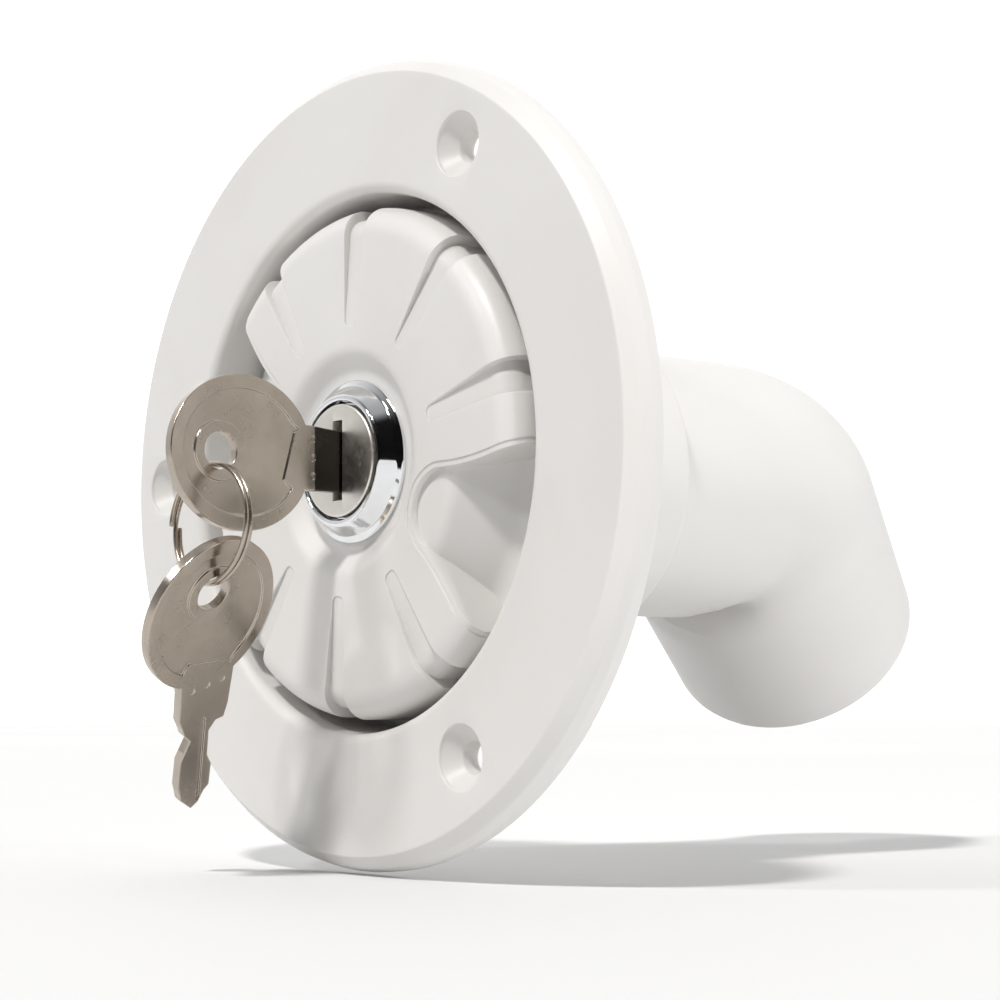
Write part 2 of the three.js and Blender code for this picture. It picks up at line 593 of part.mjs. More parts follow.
place(addMesh('key_1', keyBlank(), material.nickel), [0, key.holeToOrigin, 0], [0, 1, 0], [0, 0, 1]);
place(addMesh('key_2', keyBlank(), material.nickel), spareKey.hole, spareKey.tip, spareKey.across);
const ringLine = new Helix(ring.radius, ring.pitch * ring.turns, ring.turns);
const splitRing = addMesh('split_ring', coil(ringLine, ring.wire, 24, 6), material.nickel);
place(splitRing, ring.centre, ring.right, ring.up);

export default group;
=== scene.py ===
"""Looks for the lockable deck filler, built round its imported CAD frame. Blender 4.5.

Lengths in this script are millimetres in the CAD's frame, and MM turns them into metres. The Y axis
is the axis of the cap, lock and thread, the flange's back plane is y = 0 and +Y runs into the hull.
"""
import math

import bmesh
import bpy
import numpy as np
from mathutils import Matrix, Vector


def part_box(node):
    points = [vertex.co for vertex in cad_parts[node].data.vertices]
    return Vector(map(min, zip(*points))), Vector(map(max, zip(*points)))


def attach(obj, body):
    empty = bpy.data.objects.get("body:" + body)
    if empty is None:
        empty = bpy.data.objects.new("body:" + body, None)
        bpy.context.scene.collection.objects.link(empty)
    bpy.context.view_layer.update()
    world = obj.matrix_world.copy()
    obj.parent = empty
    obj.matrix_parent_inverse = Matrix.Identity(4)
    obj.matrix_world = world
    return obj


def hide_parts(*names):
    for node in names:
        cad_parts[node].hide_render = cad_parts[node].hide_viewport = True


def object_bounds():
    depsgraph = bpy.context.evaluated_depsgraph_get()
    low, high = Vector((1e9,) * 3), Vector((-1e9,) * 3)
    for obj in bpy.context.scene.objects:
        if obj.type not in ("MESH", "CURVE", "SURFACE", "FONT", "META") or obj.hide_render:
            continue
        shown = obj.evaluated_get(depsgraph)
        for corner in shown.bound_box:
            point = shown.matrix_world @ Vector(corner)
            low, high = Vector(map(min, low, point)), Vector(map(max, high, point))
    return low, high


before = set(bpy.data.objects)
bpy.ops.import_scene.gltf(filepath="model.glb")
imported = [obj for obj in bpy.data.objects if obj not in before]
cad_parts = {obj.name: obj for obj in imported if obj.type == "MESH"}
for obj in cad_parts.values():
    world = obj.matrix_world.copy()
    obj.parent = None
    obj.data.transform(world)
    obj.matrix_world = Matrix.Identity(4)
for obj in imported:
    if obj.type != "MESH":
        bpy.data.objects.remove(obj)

MM = 0.001
TURN = 2 * math.pi
CAD_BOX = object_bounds()

# ---- sizes that the looks share with the CAD ------------------------------------------------------

FLANGE_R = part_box("filler_body")[1].x / MM
FLANGE_FRONT = -6.0
SCREW_CIRCLE = 57.0
SCREW_ANGLES = (60, 180, 300)
RECESS_WALL = 45.9
RECESS_BOTTOM = 45.2
RECESS_FLOOR = 10.3
SHELL = 2.7
COLLAR_R = 28.6
COLLAR_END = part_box("filler_body")[1].y / MM
THREAD_R = 25.6

ELBOW_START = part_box("hose_elbow")[0].y / MM
ELBOW_R = 24.5
ELBOW_BORE = 21.7
BEND_START = 79.4
BEND_R = 18.6
BEND_ANGLE = math.radians(42)
ELBOW_WIDE = 25.9
ELBOW_END_R = 24.6
ELBOW_STRAIGHT = 37.1
LEAN = math.radians(30)

CAP_FACE = -7.36
CAP_R = 43.5
CAP_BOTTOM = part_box("cap_cover")[1].y / MM
CAP_TURNED = -22
CHANNEL_PITCH = 36

LOCK_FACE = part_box("lock_plug")[0].y / MM
BEZEL_BASE = -4.9
BEZEL_R = 13.9

KEY_HALF = 0.9
KEY_HOLE = 3.1
KEY_1_HOLE_Y = -33.0
KEY_2_HOLE = (0.4, -34.6, -22.85)
KEY_2_TIP = (-0.55, 0.31, -0.78)
KEY_2_ACROSS = (0.02, 0.93, 0.36)
RING_CENTRE = (0, -34.15, -11.95)
RING_RIGHT = (-1, -0.06, 0)
RING_UP = (0, -0.07, -1)
RING_R = 9.7
RING_WIRE = 0.4
RING_PITCH = 0.9

# ---- meshes ---------------------------------------------------------------------------------------


def smooth(obj, degrees=32):
    """Smooth shading, with edges sharper than the angle kept sharp."""
    obj.data.shade_smooth()
    obj.data.set_sharp_from_angle(angle=math.radians(degrees))
    return obj


def make(name, points, faces):
    """A mesh object from points in millimetres, with its faces pointing out."""
    mesh = bpy.data.meshes.new(name)
    mesh.from_pydata([tuple(p) for p in np.asarray(points, float) * MM], [], faces)
    obj = bpy.data.objects.new(name, mesh)
    bpy.context.scene.collection.objects.link(obj)
    return face_out(obj)


def face_out(obj):
    """Joins points that lie together and turns every face outward."""
    edit = bmesh.new()
    edit.from_mesh(obj.data)
    bmesh.ops.remove_doubles(edit, verts=edit.verts, dist=1e-7)
    bmesh.ops.recalc_face_normals(edit, faces=edit.faces)
    if edit.calc_volume(signed=True) < 0:
        bmesh.ops.reverse_faces(edit, faces=edit.faces)
    edit.to_mesh(obj.data)
    edit.free()
    return obj


def skin(name, rings, closed):
    """A closed surface through rings of equal point counts. closed joins the last ring to the first,
    and otherwise the first and last rings are filled."""
    count = len(rings[0])
    points = np.concatenate(rings)
    faces = []
    pairs = [(i, i + 1) for i in range(len(rings) - 1)]
    if closed:
        pairs.append((len(rings) - 1, 0))
    for a, b in pairs:
        for j in range(count):
            k = (j + 1) % count
            faces.append((a * count + j, a * count + k, b * count + k, b * count + j))
    if not closed:
        faces.append(tuple(range(count)))
        faces.append(tuple((len(rings) - 1) * count + j for j in range(count)))
    return make(name, points, faces)


def rounded(corners, step=10.0, support=0.35):
    """A closed outline through (a, b, radius) corners, each corner an arc of that radius. Support
    points beside each arc keep the flats flat under smooth shading."""
    count = len(corners)
    runs = []
    for i, (a, b, radius) in enumerate(corners):
        here = np.array((a, b), float)
        back = np.array(corners[i - 1][:2], float) - here
        ahead = np.array(corners[(i + 1) % count][:2], float) - here
        back_length, ahead_length = np.linalg.norm(back), np.linalg.norm(ahead)
        back, ahead = back / back_length, ahead / ahead_length
        angle = math.acos(max(-1.0, min(1.0, float(back @ ahead))))
        if radius <= 0 or angle > math.radians(178):
            runs.append([here])
            continue
        reach = min(radius / math.tan(angle / 2), 0.49 * back_length, 0.49 * ahead_length)
        radius = reach * math.tan(angle / 2)
        centre = here + (back + ahead) / np.linalg.norm(back + ahead) * radius / math.sin(angle / 2)
        first, last = here + back * reach - centre, here + ahead * reach - centre
        start = math.atan2(first[1], first[0])
        sweep = (math.atan2(last[1], last[0]) - start + math.pi) % TURN - math.pi
        steps = max(2, math.ceil(abs(math.degrees(sweep)) / step))
        runs.append([
            centre + radius * np.array((math.cos(start + sweep * t / steps),
                                        math.sin(start + sweep * t / steps)))
            for t in range(steps + 1)
        ])
    outline = []
    for i, run in enumerate(runs):
        outline += run
        last, first = run[-1], runs[(i + 1) % count][0]
        gap = np.linalg.norm(first - last)
        if gap > 4 * support:
            way = (first - last) / gap
            outline += [last + way * support, first - way * support]
    return outline


def circle_points(count):
    angle = np.arange(count) * TURN / count
    return np.cos(angle), np.sin(angle)


def lathe(name, corners, count=128, step=10.0):
    """A solid of revolution about Y from rounded (radius, y, corner radius) corners. One that reaches
    the axis has a last side on it, and its rings there shrink to points that join."""
    outline = rounded(corners, step)
    cosine, sine = circle_points(count)
    on_axis = any(p[0] < 1e-6 for p in outline)
    if on_axis:
        first = next(i for i, p in enumerate(outline) if p[0] < 1e-6 and outline[i - 1][0] < 1e-6)
        outline = outline[first:] + outline[:first]
        outline = [(max(p[0], 1e-5), p[1]) for p in outline]
    rings = [np.stack([r * cosine, np.full(count, y), r * sine], 1) for r, y in outline]
    return skin(name, rings, closed=not on_axis)


def box(name, x, y, z):
    """A block from its lowest and highest x, y and z."""
    corners = [(a, b, c) for a in x for b in y for c in z]
    faces = [(0, 1, 3, 2), (4, 6, 7, 5), (0, 4, 5, 1), (2, 3, 7, 6), (0, 2, 6, 4), (1, 5, 7, 3)]
    return make(name, corners, faces)


def boolean(obj, cutter, operation="DIFFERENCE"):
    """Cuts, joins or meets obj with cutter, which is used up."""
    modifier = obj.modifiers.new("boolean", "BOOLEAN")
    modifier.operation = operation
    modifier.solver = "MANIFOLD"
    modifier.object = cutter
    bake(obj)
    bpy.data.objects.remove(cutter)
    return obj


def bake(obj):
    """Applies every modifier of obj to its mesh."""
    bpy.context.view_layer.update()
    evaluated = obj.evaluated_get(bpy.context.evaluated_depsgraph_get())
    mesh = bpy.data.meshes.new_from_object(evaluated)
    obj.modifiers.clear()
    old = obj.data
    obj.data = mesh
    bpy.data.meshes.remove(old)
    mesh.name = obj.name
    return obj


def bevelled(obj, width, degrees=40, segments=2):
    """Small rounds on every edge sharper than the angle."""
    modifier = obj.modifiers.new("bevel", "BEVEL")
    modifier.width = width * MM
    modifier.segments = segments
    modifier.limit_method = "ANGLE"
    modifier.angle_limit = math.radians(degrees)
    modifier.use_clamp_overlap = True
    return bake(obj)


def turned_about_y(obj, degrees):
    """Turns obj anticlockwise as seen from outside."""
    obj.data.transform(Matrix.Rotation(-math.radians(degrees), 4, "Y"))
    return obj


def moved(obj, x=0.0, y=0.0, z=0.0):
    obj.data.transform(Matrix.Translation(Vector((x, y, z)) * MM))
    return obj


def basis(origin, along_x, along_y):
    """The matrix that puts a piece drawn about the origin, in millimetres, at a place in metres."""
    x = Vector(along_x).normalized()
    z = x.cross(Vector(along_y)).normalized()
    y = z.cross(x)
    matrix = Matrix((x, y, z)).transposed().to_4x4()
    matrix.translation = Vector(origin) * MM
    return matrix


def on_circle(radius, degrees):
    return radius * math.cos(math.radians(degrees)), radius * math.sin(math.radians(degrees))


# ---- materials ------------------------------------------------------------------------------------


class Nodes:
    """Short ways to add shader nodes to one material."""

    def __init__(self, name):
        self.material = bpy.data.materials.new(name)
        self.material.use_nodes = True
        self.tree = self.material.node_tree
        self.shader = self.tree.nodes["Principled BSDF"]
        self.place = self.add("ShaderNodeTexCoord").outputs["Object"]

    def add(self, kind, **settings):
        node = self.tree.nodes.new(kind)
        for key, value in settings.items():
            setattr(node, key, value)
        return node

    def link(self, source, target):
        self.tree.links.new(source, target)

    def noise(self, scale, detail=3.0, roughness=0.5, distortion=0.0):
        node = self.add("ShaderNodeTexNoise")
        node.inputs["Scale"].default_value = scale
        node.inputs["Detail"].default_value = detail
        node.inputs["Roughness"].default_value = roughness
        node.inputs["Distortion"].default_value = distortion
        self.link(self.place, node.inputs["Vector"])
        return node.outputs["Fac"]

    def band(self, source, low, high, out_low=0.0, out_high=1.0):
        """A smooth step from out_low to out_high as source goes from low to high."""
        node = self.add("ShaderNodeMapRange", interpolation_type="SMOOTHSTEP")
        for name, value in (("From Min", low), ("From Max", high),
                            ("To Min", out_low), ("To Max", out_high)):
            node.inputs[name].default_value = value
        self.link(source, node.inputs["Value"])
        return node.outputs["Result"]

    def math(self, operation, a, b):
        node = self.add("ShaderNodeMath", operation=operation)
        for socket, value in zip(node.inputs, (a, b)):
            if isinstance(value, (int, float)):
                socket.default_value = value
            else:
                self.link(value, socket)
        return node.outputs["Value"]

    def mix(self, factor, a, b):
        """A colour between a and b, each a colour or a socket."""
        node = self.add("ShaderNodeMix", data_type="RGBA")
        self.link(factor, node.inputs["Factor"])
        for socket, value in ((node.inputs["A"], a), (node.inputs["B"], b)):
            if isinstance(value, tuple):
                socket.default_value = (*value, 1)
            else:
                self.link(value, socket)
        return node.outputs["Result"]

    def bump(self, *layers):
        """Bump from (height socket, depth in millimetres) layers, one on another."""
        previous = self.soft
        for height, depth in layers:
            node = self.add("ShaderNodeBump")
            node.inputs["Strength"].default_value = 1.0
            node.inputs["Distance"].default_value = depth * MM
            self.link(height, node.inputs["Height"])
            self.link(previous, node.inputs["Normal"])
            previous = node.outputs["Normal"]
        self.link(previous, self.shader.inputs["Normal"])

    def edges(self, radius):
        """Rounds sharp edges in the shading, and returns about 1 along edges and 0 on flats."""
        bevel = self.add("ShaderNodeBevel", samples=6)
        bevel.inputs["Radius"].default_value = radius * MM
        self.soft = bevel.outputs["Normal"]
        geometry = self.add("ShaderNodeNewGeometry")
        dot = self.add("ShaderNodeVectorMath", operation="DOT_PRODUCT")
        self.link(bevel.outputs["Normal"], dot.inputs[0])
        self.link(geometry.outputs["Normal"], dot.inputs[1])
        return self.band(dot.outputs["Value"], 0.995, 0.9)


def plastic(name, colour, shade, texture):
    """Moulded satin plastic with a fine eroded texture, faint flow tone and slightly polished edges."""
    n = Nodes(name)
    flow = n.band(n.noise(22, 4, 0.55, distortion=0.6), 0.35, 0.7)
    tone = n.mix(flow, colour, shade)
    polished = tuple(min(1.0, c * 1.03) for c in colour)
    n.link(n.mix(n.edges(0.22), tone, polished), n.shader.inputs["Base Color"])
    grain = n.noise(1900, 2, 0.6)
    patch = n.noise(60, 3)
    rough = n.math("ADD", n.band(patch, 0.3, 0.7, 0.38, 0.46), n.band(grain, 0.3, 0.7, -0.04, 0.04))
    n.link(rough, n.shader.inputs["Roughness"])
    n.bump((n.noise(140, 2), 0.012), (grain, texture))
    n.shader.inputs["Specular IOR Level"].default_value = 0.45
    n.shader.inputs["Subsurface Weight"].default_value = 0.08
    n.shader.inputs["Subsurface Radius"].default_value = (0.004, 0.0035, 0.003)
    n.shader.inputs["Subsurface Scale"].default_value = 0.6
    return n.material


def metal(name, colour, roughness, scratches=0.0, dull=None, worn=None, fine=900, painted_shade_band=None):
    """Metal with fine scratches, cloudy dullness and edges worn brighter. The last argument paints shade
    on it:
    a near-black band between two heights y in millimetres."""
    n = Nodes(name)
    dull = dull or tuple(c * 0.86 for c in colour)
    worn = worn or tuple(min(1.0, c * 1.12) for c in colour)
    cloud = n.noise(110, 4, 0.6)
    edge = n.edges(0.16)
    tone = n.mix(n.band(cloud, 0.35, 0.72), colour, dull)
    tone = n.mix(edge, tone, worn)
    # Painted shade: the metal is darkened to near black between the two heights, standing in for the
    # shade on the key's neck.
    if painted_shade_band:
        height = n.add("ShaderNodeSeparateXYZ")
        n.link(n.place, height.inputs["Vector"])
        starts = n.band(height.outputs["Y"], (painted_shade_band[0] - 0.15) * MM, (painted_shade_band[0] + 0.15) * MM)
        ends = n.band(height.outputs["Y"], painted_shade_band[1] * MM, (painted_shade_band[1] + 1.5) * MM, 1, 0)
        tone = n.mix(n.math("MULTIPLY", starts, ends), tone, tuple(c * 0.16 for c in colour))
    n.link(tone, n.shader.inputs["Base Color"])
    hairs = n.noise(fine, 2, 0.7, distortion=0.3)
    rough = n.math("ADD", n.band(cloud, 0.3, 0.75, roughness, roughness * 1.6),
                   n.band(hairs, 0.45, 0.7, 0.0, 0.04 + scratches))
    n.link(rough, n.shader.inputs["Roughness"])
    n.bump((n.noise(240, 2), 0.002), (hairs, 0.0002 + 0.005 * scratches))
    n.shader.inputs["Metallic"].default_value = 1.0
    return n.material


def rubber(name, colour):
    """Matt black rubber with mould bloom."""
    n = Nodes(name)
    bloom = n.math("MAXIMUM", n.band(n.noise(90, 5, 0.65), 0.4, 0.75), n.edges(0.3))
    n.link(n.mix(bloom, colour, tuple(c * 2.2 + 0.01 for c in colour)), n.shader.inputs["Base Color"])
    n.link(n.band(bloom, 0, 1, 0.62, 0.82), n.shader.inputs["Roughness"])
    n.bump((n.noise(1500, 3, 0.6), 0.01))
    return n.material


WHITE = plastic("white_abs", (0.71, 0.70, 0.68), (0.685, 0.672, 0.652), 0.014)
PLUG_WHITE = plastic("inner_abs", (0.74, 0.73, 0.71), (0.69, 0.68, 0.66), 0.006)
RUBBER = rubber("nitrile", (0.018, 0.018, 0.02))
CHROME = metal("chrome_plate", (0.86, 0.87, 0.88), 0.045, dull=(0.78, 0.79, 0.81))
PLUG_METAL = metal("satin_chrome", (0.83, 0.80, 0.75), 0.27, scratches=0.05, fine=1400)
# Nickel carries a band of painted shade that falls on the key's neck, between the bow and the bezel.
NICKEL = metal("nickel_plate", (0.51, 0.452, 0.39), 0.18, dull=(0.45, 0.395, 0.335),
               worn=(0.86, 0.83, 0.79), fine=500, painted_shade_band=(-14.1, -8.4))
STEEL = metal("zinc_plated_steel", (0.60, 0.61, 0.62), 0.26, scratches=0.05)
ZINC = metal("die_cast_zinc", (0.52, 0.53, 0.54), 0.36, scratches=0.04)
BRASS = metal("stamped_brass", (0.78, 0.58, 0.27), 0.25, scratches=0.08)


def finish(obj, material, body, replaces=None):
    """Gives a piece its material and its body, and hides the CAD node that it stands for."""
    obj.data.materials.clear()
    obj.data.materials.append(material)
    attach(obj, body)
    if replaces:
        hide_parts(replaces)
    return obj


# ---- filler body ----------------------------------------------------------------------------------

BODY_COUNT = 240
RIBS = 12


def helix_ridge(name, wall, crest, start, lead, turns):
    """One thread ridge standing off a wall, with ends that run out."""
    inward = math.copysign(1, crest - wall)
    foot = wall - inward * 0.4
    section = ((foot, -1.2), (crest, -0.7), (crest, 0.7), (foot, 1.2))
    steps = round(turns * 72)
    rings = []
    for i in range(steps + 1):
        t = i / steps
        height = 0.1 + 0.9 * min(1, min(t, 1 - t) * turns * 8)
        angle = t * turns * TURN
        rings.append(np.array([
            ((foot + (r - foot) * height) * math.sin(angle), start + lead * turns * t + y,
             (foot + (r - foot) * height) * math.cos(angle)) for r, y in section]))
    return skin(name, rings, closed=False)


def filler_body():
    bowl_r, bowl_back = RECESS_WALL + SHELL, RECESS_FLOOR + SHELL
    bottom_r = RECESS_BOTTOM + SHELL
    body = lathe("filler_shell", [
        (RECESS_WALL, FLANGE_FRONT, 1.9), (66.2, FLANGE_FRONT, 0.5), (68.1, -4.0, 1.2),
        (FLANGE_R, -2.2, 1.5), (FLANGE_R, 0, 0.4),
        (bowl_r, 0, 0.8), (bottom_r, bowl_back, 2.5), (COLLAR_R, bowl_back, 1.5),
        (COLLAR_R, COLLAR_END, 1.1), (24.8, COLLAR_END, 0.3), (24.8, 29.2, 0), (22.3, 29.2, 0.2),
        (22.3, 28.0, 0.4), (THREAD_R, 27.0, 0.4), (THREAD_R, RECESS_FLOOR, 0.6),
        (RECESS_BOTTOM, RECESS_FLOOR, 1.6),
    ], BODY_COUNT, step=7)
    pocket = lathe("pocket", [
        (bowl_r + 2, -3, 0.8), (FLANGE_R - 2.6, -2.6, 0.8), (FLANGE_R - 2.6, 1, 0), (bowl_r + 2, 1, 0),
    ], BODY_COUNT)
    for i in range(RIBS):
        rib = box("rib", (48, 68), (-4, 0.01), (-0.9, 0.9))
        boolean(pocket, turned_about_y(rib, 360 / RIBS * (i + 0.5)))
    for angle in SCREW_ANGLES:
        x, z = on_circle(SCREW_CIRCLE, angle)
        boss = lathe("boss", [(0, -4, 0), (7, -4, 0), (6.8, 0.01, 0), (0, 0.01, 0)], 48)
        boolean(pocket, moved(boss, x, 0, z))
    boolean(body, pocket)
    for angle in SCREW_ANGLES:
        x, z = on_circle(SCREW_CIRCLE, angle)
        hole = lathe("hole", [
            (0, -9, 0), (6.0, -9, 0), (6.0, FLANGE_FRONT - 0.015, 0), (5.35, FLANGE_FRONT - 0.015, 0.4),
            (5.2, -5.5, 0.2), (2.7, -3.0, 0.4), (2.6, 1, 0), (0, 1, 0),
        ], 72)
        boolean(body, moved(hole, x, 0, z))
    for side in (-1, 1):
        edges = sorted((side * 4.3, side * 7.3))
        boolean(body, box("keeper", edges, (18.3, 24), (20.8, 26.6)), "UNION")
    boolean(body, helix_ridge("thread", THREAD_R, 24.2, 12.4, 5, 0.95), "UNION")
    return finish(smooth(body), WHITE, "filler", "filler_body")


FLAT_OUTSIDE = 16.6         # how far the tube reaches into the bend, outside and in the bore
FLAT_BORE = 13.9
FLAT_FADE = 9.0


def elbow_line(s):
    """Centre of the elbow at distance s from its start, and the directions across and into the bend."""
    y_axis = np.array((0.0, 1.0, 0.0))
    side = np.array((-math.sin(LEAN), 0.0, -math.cos(LEAN)))
    bend_at = BEND_START - ELBOW_START
    bend_length = BEND_R * BEND_ANGLE
    turn = min(max(s - bend_at, 0), bend_length) / BEND_R
    axis = y_axis * math.cos(turn) + side * math.sin(turn)
    centre = y_axis * (ELBOW_START + min(s, bend_at) + BEND_R * math.sin(turn))
    centre = centre + side * BEND_R * (1 - math.cos(turn)) + axis * max(s - bend_at - bend_length, 0)
    across = np.cross(side, y_axis)
    return centre, across, np.cross(axis, across)


def hose_elbow():
    """The elbow as one tube: out along its outside, round the rim and back along its bore. The inside of
    the bend is flattened, as a moulded elbow is, so that the tube doesn't fold into itself."""
    bend_at = BEND_START - ELBOW_START
    bend_length = BEND_R * BEND_ANGLE
    end = bend_at + bend_length + ELBOW_STRAIGHT
    outside = [(0.0, ELBOW_R - 0.4), (0.4, ELBOW_R)]
    outside += [(s, ELBOW_R) for s in np.linspace(3, bend_at, 14)]
    for t in np.linspace(0, 1, 25)[1:]:
        blend = t * t * (3 - 2 * t)
        outside.append((bend_at + bend_length * t, ELBOW_R + (ELBOW_WIDE - ELBOW_R) * blend))
    for t in np.linspace(0, 1, 14)[1:-1]:
        outside.append((bend_at + bend_length + (ELBOW_STRAIGHT - 1.4) * t,
                        ELBOW_WIDE + (ELBOW_END_R - ELBOW_WIDE) * t))
    rim = 1.1
    for angle in np.linspace(0, math.pi / 2, 7):
        outside.append((end - rim + rim * math.sin(angle), ELBOW_END_R - rim + rim * math.cos(angle)))
    inside = [(end, ELBOW_BORE + 0.4), (end - 0.15, ELBOW_BORE + 0.12), (end - 0.5, ELBOW_BORE)]
    inside += [(s, ELBOW_BORE) for s in np.linspace(end - 1, bend_at + bend_length, 12)]
    inside += [(s, ELBOW_BORE) for s in np.linspace(bend_at + bend_length, bend_at, 25)[1:]]
    inside += [(s, ELBOW_BORE) for s in np.linspace(bend_at, 0.4, 10)[1:]]
    inside.append((0.0, ELBOW_BORE + 0.4))
    cosine, sine = circle_points(160)
    rings = []
    for s, radius in outside + inside:
        centre, across, inner = elbow_line(s)
        near = max(0.0, 1 - max(bend_at - s, s - bend_at - bend_length, 0) / FLAT_FADE)
        limit = (FLAT_OUTSIDE if radius > 23 else FLAT_BORE) + 40 * (1 - near) ** 2
        inward = radius * sine
        eased = np.maximum(inward, 0) / (1 + (np.maximum(inward, 0) / limit) ** 6) ** (1 / 6)
        inward = np.where(inward > 0, eased, inward)
        rings.append(centre + radius * np.outer(cosine, across) + np.outer(inward, inner))
    elbow = smooth(skin("hose_elbow_shell", rings, closed=True), 40)
    return finish(elbow, WHITE, "filler", "hose_elbow")


# ---- screw cap ------------------------------------------------------------------------------------

GRIPS = (CAP_TURNED, CAP_TURNED + 180)
CHANNELS = [CAP_TURNED + CHANNEL_PITCH * i for i in (1, 2, 3, 4, 6, 7, 8, 9)]
CHANNEL_START = 22.9
FILLET = 5.0
CAP_COUNT = 360


def prism(name, outline, low, high, turn):
    """A plan outline of (out, across) points drawn up between two heights, turned to an angle."""
    cosine, sine = math.cos(math.radians(turn)), math.sin(math.radians(turn))
    rings = [np.array([(u * cosine - v * sine, y, u * sine + v * cosine) for u, v in outline])
             for y in (low, high)]
    return skin(name, rings, closed=False)


def channel_depth(radius):
    return 0.14 + 0.075 * max(0.0, radius - CHANNEL_START)


def channel_outline():
    """A channel in plan: a squared inner end with round corners, then sides that part slowly."""
    side = [(CHANNEL_START + 1.1 - 1.1 * math.cos(t), 0.35 + 1.1 * math.sin(t))
            for t in np.linspace(0, math.pi / 2, 7)]
    side += [(u, 1.45 + 0.08 * (u - CHANNEL_START - 1.1)) for u in (28, 34, 40, 46, 52)]
    return side + [(u, -v) for u, v in reversed(side)]


def grip_outline(grow):
    """A finger recess in plan, a round nose with sides that part, grown outward by some distance."""
    nose_centre, nose, tangent = 26.98, 7.015, math.radians(19.8)
    side = [(nose_centre - nose * math.cos(t), nose * math.sin(t))
            for t in np.linspace(0.04, math.pi / 2 - tangent, 26)]
    start_u, start_v = side[-1]
    side += [(u, start_v + 0.36 * (u - start_u) + 0.0135 * (u - start_u) ** 2)
             for u in np.linspace(start_u + 0.8, 50, 26)]
    side = np.array(side)
    along = np.gradient(side, axis=0)
    along /= np.linalg.norm(along, axis=1)[:, None]
    side = side + grow * np.stack([-along[:, 1], along[:, 0]], 1)
    return [tuple(p) for p in side] + [(u, -v) for u, v in side[::-1]]


def cap_solid(name, inset):
    """The inside of the cap's outer surface once that is moved in by inset(radius)."""
    centre_r, centre_y = CAP_R - FILLET, CAP_FACE + FILLET
    points = [(0, 12, 0), (0, CAP_FACE + inset(0), 0)]
    points += [(r, CAP_FACE + inset(r), 0) for r in np.linspace(16, centre_r, 40)]
    for turn in np.linspace(0, math.pi / 2, 25)[1:]:
        out, down = math.sin(turn), math.cos(turn)
        depth = inset(centre_r + FILLET * out)
        points.append((centre_r + (FILLET - depth) * out, centre_y - (FILLET - depth) * down, 0))
    points.append((CAP_R - inset(CAP_R + 1), 12, 0))
    return lathe(name, points, CAP_COUNT)


def grip_ground(name, lift):
    """Everything under a finger recess's floor: flat by the nose, then a slope to a deeper shelf."""
    return lathe(name, [(0, 25, 0), (0, -6.0 + lift, 0), (26.6, -6.0 + lift, 5), (36.2, 2.6 + lift, 5),
                        (44, 3.1 + lift, 0), (60, 4 + lift, 0), (60, 25, 0)], CAP_COUNT, step=5)


def cap_cover():
    cover = lathe("cap_cover_shell", [
        (11.35, -4.9, 0.3), (15.4, -4.9, 3.0), (18.9, CAP_FACE, 3.5), (CAP_R, CAP_FACE, FILLET),
        (CAP_R, CAP_BOTTOM, 0.7), (11.35, CAP_BOTTOM, 0),
    ], CAP_COUNT, step=4)
    for turn in CHANNELS:
        channel = prism("channel", channel_outline(), -20, 11, turn)
        boolean(channel, cap_solid("channel_floor", channel_depth))
        boolean(cover, channel)
    for turn in GRIPS:
        lip = prism("grip_lip", grip_outline(0.95), -20, 11, turn)
        boolean(cover, boolean(lip, cap_solid("lip_floor", lambda r: 0.2)))
        grip = prism("grip", grip_outline(0), -20, 11, turn)
        boolean(cover, boolean(grip, grip_ground("grip_floor", 0)))
    cavity = lathe("cavity", [(11, -1.6, 0), (17.5, -1.6, 0.8), (22, -4.7, 0.8), (40.4, -4.7, 1.5),
                              (40.4, 9, 0), (11, 9, 0)], CAP_COUNT)
    for turn in GRIPS:
        bulge = prism("bulge", grip_outline(2.3), -20, 24, turn)
        under = boolean(bulge, grip_ground("bulge_floor", 1.7), "INTERSECT")
        above = prism("bulge", grip_outline(2.3), -20, 24, turn)
        boolean(cavity, boolean(above, under))
    boolean(cover, cavity)
    return finish(smooth(cover, 28), WHITE, "cap", "cap_cover")


# ---- lock -----------------------------------------------------------------------------------------


def lock_barrel():
    """The barrel with its bezel, broached inside so that the wafers can lock into it."""
    barrel = lathe("lock_bezel", [
        (BEZEL_R, BEZEL_BASE, 0.1), (BEZEL_R, -5.55, 0.4), (12.75, -6.0, 0.7), (11.05, LOCK_FACE, 0.7),
        (10.2, LOCK_FACE, 0.35), (9.9, -6.6, 0.1), (7.5, -6.6, 0.1), (7.5, 14.5, 0.2), (10.6, 14.5, 0.4),
        (10.6, BEZEL_BASE, 0.1),
    ], 160, step=6)
    for angle in (0, 90):
        boolean(barrel, turned_about_y(box("broach", (-3.2, 3.2), (-5.2, 12.5), (-8.6, 8.6)), angle))
    return finish(smooth(barrel), CHROME, "cap", "lock_barrel")


